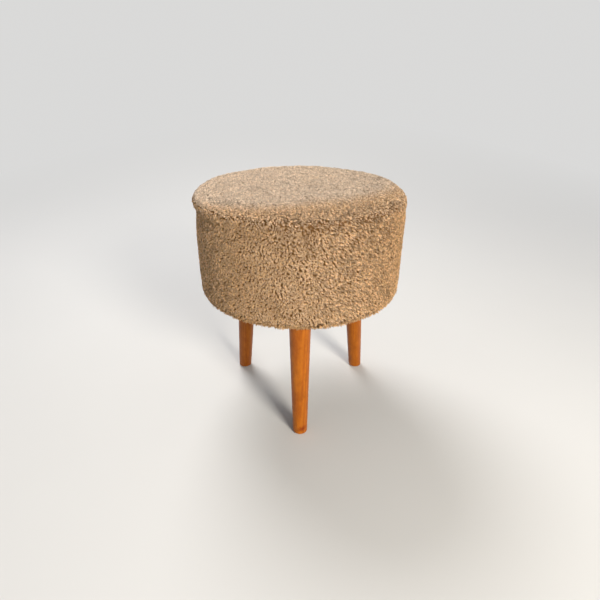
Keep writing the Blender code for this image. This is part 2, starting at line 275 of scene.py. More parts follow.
def ramp(look, factor, *stops):
    made = addNode(look, "ValToRGB", {"Fac": factor})
    points = made.color_ramp.elements
    while len(points) < len(stops):
        points.new(0.5)
    for point, (place, colour) in zip(points, stops):
        point.position = place
        point.color = (*colour, 1)
    return made.outputs["Color"]


def spread(look, value, low, high, toLow=0.0, toHigh=1.0):
    return addNode(look, "MapRange", {"Value": value, "From Min": low, "From Max": high,
                                      "To Min": toLow, "To Max": toHigh}).outputs["Result"]


def mixed(look, blend, factor, first, second):
    made = addNode(look, "Mix", data_type='RGBA', blend_type=blend)
    for number, value in ((0, factor), (6, first), (7, second)):      # its colour sockets are 6 and 7
        plug(look, made.inputs[number], value)
    return made.outputs[2]


def blended(look, factor, first, second):
    return addNode(look, "MixShader", {0: factor, 1: first, 2: second}).outputs["Shader"]


def sums(look, operation, first, second):
    return addNode(look, "Math", {0: first, 1: second}, operation=operation).outputs[0]


def finished(look, tone, height, strength, distance):
    # the base colour, and a bump of this height
    bump = addNode(look, "Bump", {"Height": height, "Strength": strength, "Distance": distance})
    setInputs(look, {"Base Color": tone, "Normal": bump.outputs["Normal"]})
    return look


def plainLook(name, roughness, specular, pattern, dark, light, strength, distance, sheen=0.0):
    # one pattern gives both the colour, from dark to light, and the bump
    look = newLook(name, roughness, specular, {"Sheen Weight": sheen})
    height = pattern(look)
    return finished(look, ramp(look, height, dark, light), height, strength, distance)


def seenDirectly(look):
    # 1 for rays from the camera, off gloss and through glass; the light on the object stays as it is
    path = addNode(look, "LightPath").outputs
    gloss = sums(look, 'MAXIMUM', path["Is Glossy Ray"], path["Is Transmission Ray"])
    return sums(look, 'MAXIMUM', path["Is Camera Ray"], gloss)


# camera where the photograph was taken from, with a plain sweep and soft lamps

view = dict(lens=29.41, sensor=36.0, place=(0.0, -0.8228, 0.6328), pitch=27.91)
studio = dict(
    floorColour=(0.66, 0.655, 0.65), floorShade=0.985, front=-3.0, back=1.1, halfWidth=4.0, sweep=2.6,
    height=4.5, sky=0.27, skyColour=(0.97, 0.98, 1.0), farColour=(0.70, 0.697, 0.69), farFrom=0.55,
    farFull=2.2,
)

lens = bpy.data.cameras.new("photo view")
lens.lens = view["lens"]
lens.sensor_width = view["sensor"]
eye = bpy.data.objects.new("photo view", lens)
eye.location = view["place"]
eye.rotation_euler = (math.radians(90 - view["pitch"]), 0, 0)
scene.collection.objects.link(eye)
scene.camera = eye
scene.view_settings.view_transform = 'Standard'


def floorLook():
    # far from the object the floor turns to the plain pale colour of the room; from below it is clear,
    # so that the underside can be seen
    look = newLook("studio floor", 0.7, 0.2)
    grain = noise(look, objectPlace(look), 3.0, 3)
    shade = tuple(studio["floorShade"] * c for c in studio["floorColour"])
    setInputs(look, {"Base Color": ramp(look, grain, (0.3, shade), (0.7, studio["floorColour"]))})
    away = spread(look, lengthOf(look, objectPlace(look)), studio["farFrom"], studio["farFull"])
    away = sums(look, 'MULTIPLY', away, seenDirectly(look))
    pale = addNode(look, "Emission", {"Color": studio["farColour"]}).outputs["Emission"]
    lit = blended(look, away, look.node_tree.nodes["Principled BSDF"].outputs["BSDF"], pale)
    behind = addNode(look, "NewGeometry").outputs["Backfacing"]
    both = blended(look, behind, lit, addNode(look, "BsdfTransparent").outputs["BSDF"])
    plug(look, look.node_tree.nodes["Material Output"].inputs["Surface"], both)
    return look


def studioSweep():
    # floor line, a quarter circle and a wall line in the YZ plane, carried along X
    sweep = roundCorner(studio["back"], studio["sweep"], studio["sweep"], -1, 16)
    wall = (studio["back"] + studio["sweep"], studio["height"])
    y, z = np.concatenate([[(studio["front"], 0)], sweep, [wall]]).T[..., None]
    x = np.array([[-1, 1]]) * studio["halfWidth"]
    grid = np.stack(np.broadcast_arrays(x, y, z), -1)
    mesh = surfaceMesh("studio_sweep", grid, ringColumns=False, turnOut=False)
    mesh.materials.append(floorLook())
    made = bpy.data.objects.new("studio_sweep", mesh)
    scene.collection.objects.link(made)


def softLamp(name, place, aim, size, power, colour):
    lamp = bpy.data.lights.new(name, 'AREA')
    lamp.shape = 'DISK'
    lamp.size = size
    lamp.energy = power
    lamp.color = colour
    made = bpy.data.objects.new(name, lamp)
    made.location = place
    away = Vector(place) - Vector(aim)
    made.rotation_euler = away.to_track_quat('Z', 'Y').to_euler()
    scene.collection.objects.link(made)


studioSweep()
softLamp("key from the right", place=(1.25, -2.1, 1.3), aim=(0, 0, 0.25), size=0.8, power=79,
         colour=(1.0, 0.945, 0.84))
softLamp("high behind", place=(-0.6, 1.2, 2.0), aim=(0, 0, 0.3), size=1.2, power=44,
         colour=(1.0, 0.99, 0.98))
world = bpy.data.worlds.new("soft room")
scene.world = world
world.use_nodes = True
sky = world.node_tree.nodes["Background"]
plug(world, sky.inputs["Color"], studio["skyColour"])
plug(world, sky.inputs["Strength"], studio["sky"])
room = addNode(world, "Background", {"Color": studio["farColour"]}).outputs["Background"]
both = blended(world, seenDirectly(world), sky.outputs["Background"], room)
plug(world, world.node_tree.nodes["World Output"].inputs["Surface"], both)
print("camera, sweep and lamps set")


# looks

def plushLook():
    # colour runs from a dark foot, painted shade deep in the pile, to a light tip; tan on the side and pale
    # on the seat, the pale being painted light from above; clumps and strands differ in value
    look = newLook("tan plush pile", 0.9, 0.06, {
        "Sheen Weight": 0.08, "Sheen Roughness": 0.45, "Sheen Tint": (0.95, 0.76, 0.52)})
    lock = addNode(look, "Attribute", attribute_name="lock")
    parts = addNode(look, "SeparateColor", {"Color": lock.outputs["Color"]})
    along, clump, strand = (parts.outputs[key] for key in ("Red", "Green", "Blue"))
    # the dark feet of both ramps are painted shade deep in the pile; the seat's paler ramp is painted light
    # from above
    side = ramp(look, along, (0, (0.19, 0.076, 0.016)), (0.4, (0.60, 0.36, 0.17)), (1, (0.92, 0.745, 0.58)))
    seat = ramp(look, along, (0, (0.36, 0.23, 0.13)), (0.4, (0.63, 0.485, 0.36)), (1, (0.835, 0.715, 0.61)))
    tone = mixed(look, 'MIX', lock.outputs["Alpha"], side, seat)
    value = spread(look, noise(look, objectPlace(look), 38, 2), 0.3, 0.7, 0.95, 1.05)
    # the clump value is random, less painted shade on parted clumps by the rim and on the seat's right
    value = sums(look, 'MULTIPLY', value, spread(look, clump, -1, 2, 0.52, 1.48))
    value = sums(look, 'MULTIPLY', value, spread(look, strand, 0, 1, 0.7, 1.3))
    hue = spread(look, strand, 0, 1, 0.493, 0.507)
    tone = addNode(look, "HueSaturation", {"Color": tone, "Hue": hue, "Value": value}).outputs["Color"]
    fibre = mapped(look, addNode(look, "UVMap", uv_map="strand").outputs["UV"], (14, 1.2, 1))
    return finished(look, tone, noise(look, fibre, 3.0, 3), 0.5, 0.0002)


def smallCells(look):
    return addNode(look, "TexVoronoi", {"Vector": objectPlace(look), "Scale": 900}).outputs["Distance"]


def threadTwist(look):
    place = objectPlace(look, turn=(0.6, 0.5, 0.3))
    return addNode(look, "TexWave", {"Vector": place, "Scale": 500}).outputs["Fac"]


def backingLook():
    # knitted ground of the plush, seen only between the locks; its dark colour is painted shade under the
    # pile, paler under the middle of the seat as painted light from above
    look = newLook("plush ground", 0.95, 0.15)
    loops = smallCells(look)
    side = ramp(look, loops, (0, (0.32, 0.16, 0.06)), (0.6, (0.17, 0.082, 0.030)))
    seat = ramp(look, loops, (0, (0.60, 0.44, 0.30)), (0.6, (0.46, 0.32, 0.20)))
    # middle: where the seat's painted light takes over from the painted shade of the side
    middle = spread(look, lengthOf(look, objectPlace(look, (1, 1, 0))), 0.155, 0.125)
    return finished(look, mixed(look, 'MIX', middle, side, seat), loops, 0.6, 0.0004)


# in the front leg's own axes: out, across and down
knot = dict(place=(0.0121, -0.0042, 0.2213), slant=-0.52, squeeze=(0.5, 0.55, 0.95), reach=0.0060,
            ragged=0.0016)


def knotShade(look, place):
    # distance from the knot's middle, squeezed to an oval and made ragged by noise, as a soft dark spot
    own = addNode(look, "VectorMath", {0: place, 1: knot["place"]}, operation='SUBTRACT').outputs[0]
    own = mapped(look, mapped(look, own, turn=(knot["slant"], 0, 0)), knot["squeeze"])
    ragged = spread(look, noise(look, place, 420, 2), 0.3, 0.7, -knot["ragged"], knot["ragged"])
    far = spread(look, sums(look, 'ADD', lengthOf(look, own), ragged), 0, knot["reach"])
    return ramp(look, far, (0.1, (0.58, 0.35, 0.13)), (0.45, (0.72, 0.50, 0.27)), (1, (1, 1, 1)))


def stainedWoodLook():
    # rings round a pith beside the leg, streaks and pores drawn out along it, one knot on the front leg
    look = newLook("stained beech", 0.45, 0.18, {"Coat Weight": 0.06, "Coat Roughness": 0.3})
    place = addNode(look, "Attribute", attribute_name="grain").outputs["Vector"]
    rings = addNode(look, "TexWave", {
        "Vector": mapped(look, place, (1, 1, 0.07), shift=(0.021, 0.008, 0)), "Scale": 95, "Distortion": 3.2,
        "Detail": 3, "Detail Scale": 1.4}, wave_type='RINGS', rings_direction='Z').outputs["Fac"]
    long = mapped(look, place, (1, 1, 0.13))
    streak, pores = noise(look, long, 240, 4, 0.6), noise(look, long, 1300, 2, 0.5)
    broad = noise(look, mapped(look, place, (1, 1, 0.55)), 110, 4, 0.6, 0.4)
    tone = ramp(look, rings, (0, (0.42, 0.11, 0.006)), (0.55, (0.47, 0.132, 0.006)),
                (1, (0.5, 0.148, 0.008)))
    for pattern, share, dark, light in (
            (streak, 0.25, (0.32, (0.55, 0.48, 0.42)), (0.62, (1.08, 1.06, 1.04))),
            (pores, 0.25, (0.36, (0.45, 0.38, 0.32)), (0.46, (1, 1, 1))),
            (broad, 0.8, (0.32, (0.80, 0.74, 0.68)), (0.68, (1.12, 1.13, 1.14)))):
        tone = mixed(look, 'MULTIPLY', share, tone, ramp(look, pattern, dark, light))
    # each leg's stain, with painted shade under the drum on the rear legs
    stainAndShade = addNode(look, "Attribute", attribute_name="stainAndShade").outputs["Color"]
    for shade in (stainAndShade, knotShade(look, place)):
        tone = mixed(look, 'MULTIPLY', 1.0, tone, shade)
    setInputs(look, {"Roughness": spread(look, streak, 0.3, 0.7, 0.46, 0.34)})
    return finished(look, tone, sums(look, 'ADD', pores, streak), 0.12, 0.0003)


def zincLook():
    look = newLook("bright zinc", 0.34, extra={"Metallic": 1.0})
    cloud = noise(look, objectPlace(look), 160, 4)
    tone = ramp(look, cloud, (0.3, (0.5, 0.51, 0.53)), (0.55, (0.62, 0.63, 0.63)),
                (0.75, (0.66, 0.63, 0.56)))
    scratch = noise(look, objectPlace(look, (1, 14, 1), (0, 0, 0.6)), 300, 3)
    setInputs(look, {"Roughness": spread(look, scratch, 0.3, 0.7, 0.26, 0.44)})
    return finished(look, tone, scratch, 0.08, 0.0002)


def dustClothLook():
    # spun-bonded cloth: matted fibres pressed with a grid of small dots
    look = newLook("black nonwoven", 0.85, 0.3)
    fibres = noise(look, objectPlace(look), 1400, 5, 0.7, 1.5)
    place = objectPlace(look, (2500, 2500, 1), (0, 0, math.pi / 4))
    axes = addNode(look, "SeparateXYZ", {"Vector": place}).outputs
    waves = [addNode(look, "Math", {0: axes[key]}, operation='SINE').outputs[0] for key in ("X", "Y")]
    dots = spread(look, sums(look, 'MULTIPLY', *waves), 0.35, 0.7)
    tone = ramp(look, fibres, (0.3, (0.010, 0.010, 0.011)), (0.7, (0.034, 0.034, 0.037)))
    tone = mixed(look, 'MULTIPLY', dots, tone, (0.5, 0.5, 0.5))
    setInputs(look, {"Roughness": spread(look, dots, 0, 1, 0.9, 0.6)})
    return finished(look, tone, sums(look, 'SUBTRACT', fibres, dots), 0.5, 0.0003)


def pineLook():
    # grain lines drawn out upwards, with wandering growth rings across them
    look = newLook("sawn pine", 0.72, 0.3)
    place = objectPlace(look, (1, 1, 0.06))
    rings = addNode(look, "TexWave", {"Vector": place, "Scale": 60, "Distortion": 6, "Detail": 3,
                                      "Detail Scale": 1.2}, bands_direction='DIAGONAL').outputs["Fac"]
    fibre = noise(look, place, 700, 4, 0.6)
    tone = ramp(look, rings, (0, (0.50, 0.31, 0.15)), (1, (0.70, 0.50, 0.30)))
    shade = ramp(look, fibre, (0.3, (0.72, 0.68, 0.62)), (0.7, (1.06, 1.05, 1.04)))
    return finished(look, mixed(look, 'MULTIPLY', 0.6, tone, shade), fibre, 0.3, 0.0004)


def plywoodLook():
    # veneer on the faces, and glued layers where the surface is upright
    look = newLook("plywood", 0.7, 0.3)
    veneer = noise(look, objectPlace(look, (0.05, 1, 1)), 170, 5, 0.6, 0.6)
    face = ramp(look, veneer, (0.3, (0.47, 0.33, 0.195)), (0.7, (0.62, 0.475, 0.31)))
    layers = addNode(look, "TexWave", {"Vector": objectPlace(look), "Scale": 105, "Distortion": 0.6},
                     bands_direction='Z', wave_profile='SIN').outputs["Fac"]
    edge = ramp(look, layers, (0.2, (0.22, 0.135, 0.07)), (0.6, (0.58, 0.43, 0.27)))
    normal = addNode(look, "NewGeometry").outputs["Normal"]
    height = addNode(look, "SeparateXYZ", {"Vector": normal}).outputs["Z"]
    flat = spread(look, addNode(look, "Math", {0: height}, operation='ABSOLUTE').outputs[0], 0.4, 0.6)
    return finished(look, mixed(look, 'MIX', flat, edge, face), veneer, 0.2, 0.0004)


plush = plushLook()
ground = backingLook()
stainedWood = stainedWoodLook()
zinc = zincLook()
dustCloth = dustClothLook()
pine = pineLook()
plywood = plywoodLook()
felt = plainLook("brown felt", 0.95, 0.15, lambda look: noise(look, objectPlace(look), 2600, 6, 0.7, 2.0),
                 (0.3, (0.055, 0.032, 0.02)), (0.7, (0.15, 0.095, 0.06)), 0.8, 0.0004, sheen=0.25)
wadding = plainLook("white wadding", 0.95, 0.15,
                    lambda look: noise(look, objectPlace(look, (1, 1, 3)), 420, 6, 0.72, 2.5),
                    (0.3, (0.68, 0.68, 0.66)), (0.7, (0.86, 0.86, 0.84)), 0.7, 0.001, sheen=0.3)
hardboard = plainLook("hardboard", 0.6, 0.35,
                      lambda look: noise(look, objectPlace(look, (1, 1, 1.6)), 900, 6, 0.7, 1.0),
                      (0.3, (0.15, 0.082, 0.038)), (0.7, (0.34, 0.21, 0.115)), 0.2, 0.0003)
foam = plainLook("seat foam", 0.95, 0.1, smallCells, (0.1, (0.55, 0.45, 0.24)), (0.6, (0.79, 0.71, 0.48)),
                 0.7, 0.0006)
thread = plainLook("tan thread", 0.75, 0.3, threadTwist, (0, (0.24, 0.15, 0.08)), (1, (0.46, 0.32, 0.19)),
                   0.5, 0.0002)
print("looks made")


# drum: one form for the whole cover, puffed out by cloth pressure between its seam and its hem

topBox, bandBox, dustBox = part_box("cover_top"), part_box("cover_band"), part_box("dust_cover")
drum = dict(
    radius=0.180, lean=0.0014, crown=0.004, baseRound=0.013, pileDepth=0.0042, fabric=0.0013,
    rimRoundLeft=0.0095, rimRoundRight=0.016, dropRight=0.0002, heading=35.0,
    pinch=0.0010, pinchLeft=0.0050, pinchAbove=0.007, pinchBelow=0.012, pinchBelowLeft=0.034, leftNarrow=5,
    hemDepth=0.0009, hemSteep=1.6, hemLap=0.010, lumps=0.0004, lumpSize=0.07, frames=20, cap=0.0016,
    columns=160, topRows=26, rimRows=12, sideRows=28, baseRows=6, hemRows=3,
)
clothSettings = dict(
    quality=6, mass=0.35, tension_stiffness=30, compression_stiffness=30, shear_stiffness=10,
    bending_stiffness=1.5, vertex_group_mass="held", use_pressure=True, uniform_pressure_force=1.5,
)
underCover = bandBox[0].z
seamLevel = (bandBox[1].z + topBox[0].z) / 2
rimLevel = topBox[1].z - drum["crown"]
hemInner = dustBox[1].x - drum["hemLap"]      # the dust cover laps over the hem
seamRow = drum["topRows"] + drum["rimRows"]

turns = circle(drum["columns"])[None]
leftness = (0.5 - 0.5 * np.cos(turns)) ** drum["leftNarrow"]
rightness = 0.5 + 0.5 * np.cos(turns - math.radians(drum["heading"]))
rimRounds = between(drum["rimRoundLeft"], drum["rimRoundRight"], rightness)
pinches = between(drum["pinch"], drum["pinchLeft"], leftness)
pinchBelow = between(drum["pinchBelow"], drum["pinchBelowLeft"], leftness)


def seatEdge(depth):
    return rimLevel - depth - drum["dropRight"] * rightness


def wallRadius(z, depth):
    # a line that leans in going down, less quarter circles at rim and base and a bell curve at the seam
    rimRound, baseRound = rimRounds - depth / 2, drum["baseRound"] - depth / 2
    up = np.clip((z - seatEdge(depth)) / rimRound + 1, 0, 1)
    down = np.clip((underCover + depth - z) / baseRound + 1, 0, 1)
    rounds = rimRound * (1 - np.sqrt(1 - up ** 2)) + baseRound * (1 - np.sqrt(1 - down ** 2))
    bell = np.exp(-((z - seamLevel) / np.where(z > seamLevel, drum["pinchAbove"], pinchBelow)) ** 2)
    lean = drum["lean"] * (2 * (z - underCover) / (rimLevel - underCover) - 1)
    return drum["radius"] - depth + lean - rounds - pinches * bell


def ringPoints(r, z):
    return np.stack([r * np.cos(turns), r * np.sin(turns), z + 0 * turns], -1)


def seatRows(depth, rows):
    # from the middle to where the rim turns down; z falls from the crown with the square of the radius
    share, top = steps(rows), seatEdge(depth)
    return ringPoints(wallRadius(top, depth) * share, top + drum["crown"] * (1 - share ** 2))


def drumForm(depth):
    # rows from the middle of the seat out over the rim, down the side and under to the hem
    top, bottom, baseRound = seatEdge(depth), underCover + depth, drum["baseRound"] - depth / 2
    rimZ = between(top, seamLevel, steps(drum["rimRows"])[1:] ** 2)
    sideZ = between(seamLevel, bottom + baseRound, steps(drum["sideRows"])[1:]) + 0 * turns
    baseZ = bottom + baseRound * (1 - np.sin(quarter(drum["baseRows"])[1:, None])) + 0 * turns
    wallZ = np.concatenate([rimZ, sideZ, baseZ])
    share = steps(drum["hemRows"])[1:]
    hemZ = between(bottom, underCover + drum["hemDepth"], smoothStep(drum["hemSteep"] * share))
    hem = ringPoints(between(wallRadius(baseZ[-1:], depth), hemInner, share), hemZ)
    seat, wall = seatRows(depth, drum["topRows"]), ringPoints(wallRadius(wallZ, depth), wallZ)
    return np.concatenate([seat, wall, hem])


def outwardOf(grid):
    # normal of a grid: its steps down the rows x its steps round the columns
    around = np.roll(grid, -1, 1) - np.roll(grid, 1, 1)
    around[0] = around[1]
    return unit(np.cross(unit(np.gradient(grid, axis=0)), unit(around)))


def puffed(grid):
    # cloth pressure on the form, held at its rim, its seam and its hem, with each point's move capped
    mesh = surfaceMesh("drum cloth", grid, poles=(True, False))
    cloth = bpy.data.objects.new("drum cloth", mesh)
    scene.collection.objects.link(cloth)
    columns = grid.shape[1]
    index = numbered(grid.shape[:2]) - (columns - 1)      # the middle's row is one point in the mesh
    held = cloth.vertex_groups.new(name="held")
    fixed = [index[drum["topRows"]:seamRow + 1], index[-drum["hemRows"] - 1:]]
    held.add(np.concatenate(fixed).ravel().tolist(), 1.0, 'REPLACE')
    sim = cloth.modifiers.new("Cloth", 'CLOTH')
    for key, value in clothSettings.items():
        setattr(sim.settings, key, value)
    sim.settings.effector_weights.gravity = 0
    sim.point_cache.frame_end = drum["frames"]
    for number in range(1, drum["frames"] + 1):
        scene.frame_set(number)
    moved = pointsOf(cloth.evaluated_get(bpy.context.evaluated_depsgraph_get()).data)
    scene.frame_set(1)
    bpy.data.objects.remove(cloth)
    step = np.concatenate([moved[:1].repeat(columns, 0), moved[1:]]).reshape(grid.shape) - grid
    far = np.linalg.norm(step, axis=-1, keepdims=True)
    print("cloth moved the cover by %.1f mm on average" % (far.mean() * 1000))
    return grid + step * np.minimum(1, drum["cap"] / np.maximum(far, 1e-9))


def coverPiece(name, rows, pole, node):
    piece = addPiece(surfaceMesh(name, form[rows], poles=(pole, False)), ground, "drum", "plush", node)
    wall = piece.modifiers.new("Fabric", 'SOLIDIFY')
    wall.thickness = drum["fabric"]
    wall.offset = -1


form = drumForm(drum["pileDepth"])
form = form + outwardOf(form) * (softNoise(form, drum["lumpSize"], seed=5) * drum["lumps"])[..., None]
form = puffed(form)
formOut = outwardOf(form)
coverPiece("plush_top", slice(0, seamRow + 1), True, "cover_top")
coverPiece("plush_band", slice(seamRow, None), False, "cover_band")
print("cover made")


# pile: clumps of curled strands, in rows one pitch apart from the middle of the seat to under the base

pile = dict(
    seed=7, pitch=0.00288, strands=8, sides=3, stations=(0.0, 0.45, 1.0), pieces=12, fewest=3, shake=0.34,
    firstRow=0.0005, hemReach=0.001, thick=0.00044, length=0.0044, runPower=1.35, lift=0.0034, arch=0.70,
    sink=0.0006, curl=0.0009, curlTurns=0.6, bendStray=0.7, aside=0.16, scatter=0.0008, gather=0.58,
    lean=(0.55, 1.15), clumpScale=(0.86, 1.14), strandScale=(0.85, 1.15), vigour=0.05, vigourSize=0.022,
    uvSpread=40, cellInset=0.12,
)
# which way it lies; headings are degrees from the front to the right, levels are the normal's height
nap = dict(
    partAt=-8.0, partOver=14.0, sweepBack=44.0, backFade=(180.0, 120.0), topLevel=(0.15, 0.85),
    underLevel=(0.0, -0.8), hang=0.75, seatOut=0.5, seatDrift=(0.35, -0.6, 0.0),
    swirl=0.35, swirlSize=0.03, stray=0.42,
)
combing = dict(
    right=(2.0, 16.0), left=(-25.0, -45.0), leftShare=0.7, swirl=0.08, stray=0.10,
    longer=0.40, thin=0.24, gather=0.34, widen=(0.5, -0.25), tint=1.7,
)
# start and end are distances past the rim, negative on the seat
# the parting's two darkening amounts darken parted clumps as painted shade over and under the rim
parting = dict(
    start=(-0.060, -0.030), end=(0.062, 0.017), deeperRight=0.045, moreRight=0.45, backFade=(-1.1, -0.1),
    backShare=0.9, mean=0.65, vary=0.35, size=0.035, thin=0.44, gather=0.38, dark=0.22, rimPaintedShade=0.12,
    rimTint=2.6,
)
# on the seat: reach, lessFront, lessRight and the two fades place the pale colour, painted light from above;
# the darkening on the right is painted shade
seatPile = dict(
    reach=0.160, lessFront=0.086, lessRight=0.034, paintedLightFade=0.060, paintedLightLevel=(0.25, 0.85), short=0.94,
    loose=0.4, partedHolds=0.6, scatter=0.4, thick=0.09, tint=0.5, paintedShadeRight=0.45,
)


def onForm(values, row, column):
    # values on the form's grid, read between its rows and columns in proportion
    low = np.clip(np.floor(row).astype(int), 0, values.shape[0] - 2)
    left = np.floor(column).astype(int)
    f, g = (row - low)[:, None], (column - left)[:, None]
    left, right = left % values.shape[1], (left + 1) % values.shape[1]
    return between(between(values[low, left], values[low, right], g),
                   between(values[low + 1, left], values[low + 1, right], g), f)


def clumpRoots(rng):
    # rows at one pitch along the mean section, each with one clump per pitch round it, shaken from its place
    reach, height = np.linalg.norm(form[..., :2], axis=-1).mean(1), form[..., 2].mean(1)
    arc = np.concatenate([[0], np.cumsum(np.hypot(np.diff(reach), np.diff(height)))])
    last = arc[-drum["hemRows"] - 1] + pile["hemReach"]
    lines = np.arange(pile["pitch"] / 2, last, pile["pitch"])
    counts = np.round(fullTurn * np.interp(lines, arc, reach) / pile["pitch"])
    counts = np.maximum(counts, pile["fewest"]).astype(int)
    line = np.repeat(np.arange(len(lines)), counts)
    place = np.arange(counts.sum()) - np.repeat(np.cumsum(counts) - counts, counts)
    shake = rng.uniform(-pile["shake"], pile["shake"], (2, len(line)))
    down = np.clip(lines[line] + shake[0] * pile["pitch"], pile["firstRow"], last)
    around = (place + 0.5 * (line % 2) + shake[1]) / counts[line] * drum["columns"]
    return np.interp(down, arc, np.arange(len(arc))), around


def pileFlow(points, normal, rng):
    # on the side the pile lies down and back round the drum, combed most on the right; on the seat it drifts
    # outwards; slow noise swirls it in patches and each clump strays from that by itself
    heading = np.arctan2(points[:, 0], -points[:, 1])
    around, outward = swung(heading, xWay, yWay), swung(heading, -yWay, xWay)
    degrees = np.degrees(heading)
    slant = np.tanh((degrees - nap["partAt"]) / nap["partOver"]) * fade(np.abs(degrees), *nap["backFade"])
    side = swung(slant * math.radians(nap["sweepBack"]), -zWay, around)
    onTop = fade(normal[:, 2], *nap["topLevel"])
    flow = between(side, outward * nap["seatOut"] + nap["seatDrift"], onTop[:, None])
    flow = squareTo(normal, flow)
    combed = fade(degrees, *combing["right"]) + combing["leftShare"] * fade(degrees, *combing["left"])
    combed = combed * (1 - onTop)
    stray = between(nap["stray"], combing["stray"], combed)
    swirl = between(nap["swirl"], combing["swirl"], combed)
    turn = swirl * softNoise(points, nap["swirlSize"], seed=21) + stray * rng.normal(size=len(points))
    flow = swung(turn, flow, np.cross(normal, flow))
    return flow, np.cross(normal, flow), onTop, combed


def tuftPatches(root, normal):
    # parted: over the rim and below it, at the front and more so to the right, in patches of slow noise
    # pale: painted light from above on the seat's tips, which gives way to the tan side colour nearer the
    # middle at the front than at the back
    out = np.linalg.norm(root[:, :2], axis=1)
    toRight, toBack = root[:, 0] / out, root[:, 1] / out
    past = rimLevel - root[:, 2] + out - drum["radius"]
    parted = fade(past, *parting["start"]) * fade(past - parting["deeperRight"] * toRight, *parting["end"])
    patches = parting["mean"] + parting["vary"] * softNoise(root, parting["size"], seed=41)
    parted = parted * np.clip(patches, 0, 1) * (1 + parting["moreRight"] * toRight)
    parted = parted * (1 - parting["backShare"] * fade(toBack, *parting["backFade"]))
    reach = seatPile["reach"] + seatPile["lessFront"] * toBack - seatPile["lessRight"] * toRight
    # pale share: painted light on tips that face up
    pale = 1 - smoothStep((out - reach) / seatPile["paintedLightFade"])
    return parted, pale * fade(normal[:, 2], *seatPile["paintedLightLevel"])


def strandShapes():
    # centre line: rises as a sine and runs on with the flow, with a sideways wave;
    # a ring of points round its middle is drawn to a point at the root and at the tip
    rng = np.random.default_rng(pile["seed"])
    row, column = clumpRoots(rng)
    root, normal = onForm(form, row, column), unit(onForm(formOut, row, column))
    flow, across, onTop, combed = pileFlow(root, normal, rng)
    parted, pale = tuftPatches(root, normal)
    loose = pale * (1 - seatPile["partedHolds"] * parted)        # where it is pale the clumps come undone
    gather = pile["gather"] + np.maximum(parting["gather"] * parted, combing["gather"] * combed)
    gather = gather - seatPile["loose"] * loose
    count, each = len(root), pile["strands"]
    vigour = np.exp(pile["vigour"] * softNoise(root, pile["vigourSize"], seed=33))
    vigour = vigour * rng.uniform(*pile["clumpScale"], count) * between(1, seatPile["short"], onTop)
    scale = vigour[:, None] * rng.uniform(*pile["strandScale"], (count, each))
    offset = rng.normal(size=(count, each, 2)) * pile["scatter"]
    offset = offset * (1 + combed[:, None] * combing["widen"])[:, None]
    offset = offset * (1 + seatPile["scatter"] * loose)[:, None, None]
    twist = rng.normal(size=(count, each)) * pile["aside"]
    bend = rng.uniform(0, fullTurn, (count, 1)) + rng.normal(size=(count, each)) * pile["bendStray"]
    under = fade(normal[:, 2], *nap["underLevel"])
    lean = rng.uniform(*pile["lean"], (count, each)) * (1 - nap["hang"] * under)[:, None]
    thinned = np.maximum(parting["thin"] * parted, combing["thin"] * combed) - seatPile["thick"] * loose
    thick = pile["thick"] * np.sqrt(scale) * (1 - thinned)[:, None]
    scale, twist, bend, lean = (values[..., None] for values in (scale, twist, bend, lean))
    t = np.array(pile["stations"])
    rise = pile["lift"] * np.sin(t * np.pi * pile["arch"])
    run = pile["length"] * t ** pile["runPower"]
    wave = np.sin(fullTurn * pile["curlTurns"] * t + bend) - np.sin(bend)
    apart = 1 - gather[:, None, None] * t
    longer = (1 + combing["longer"] * combed)[:, None, None]
    forward = scale * lean * run * longer + offset[..., :1] * apart
    sideways = scale * pile["curl"] * wave + twist * run + offset[..., 1:] * apart
    height = scale * rise / np.sqrt(lean) - pile["sink"]
    line = root[:, None, None]
    for way, step in ((flow, forward), (across, sideways), (normal, height)):
        line = line + way[:, None, None] * step[..., None]
    line = line.reshape(-1, len(t), 3)
    ahead = unit(line[:, 2] - line[:, 0])
    side = squareTo(ahead, np.repeat(across, each, 0))
    ring = swung(circle(pile["sides"]), side[:, None], np.cross(ahead, side)[:, None])
    points = np.concatenate([line[:, :1], line[:, 1:2] + thick.reshape(-1, 1, 1) * ring, line[:, 2:]], 1)
    # combed and rim clumps differ more at random; parted ones are darkened as painted shade in the gaps over
    # and under the rim, and the seat's right is darkened as painted shade
    unlike = 1 + combing["tint"] * combed + onTop * (seatPile["tint"] + parting["rimTint"] * parted)
    tint = 0.5 + (rng.uniform(size=count) - 0.5) * unlike
    # painted shade on parted clumps, stronger on the seat
    tint = tint - parted * (parting["dark"] + parting["rimPaintedShade"] * onTop)
    # painted shade: the seat darkens towards its right
    tint = tint - seatPile["paintedShadeRight"] * onTop * root[:, 0] / drum["radius"]
    tint, pale = np.repeat(tint, each), np.repeat(pale, each)
    return points, np.stack([tint, rng.uniform(size=count * each), pale], -1)


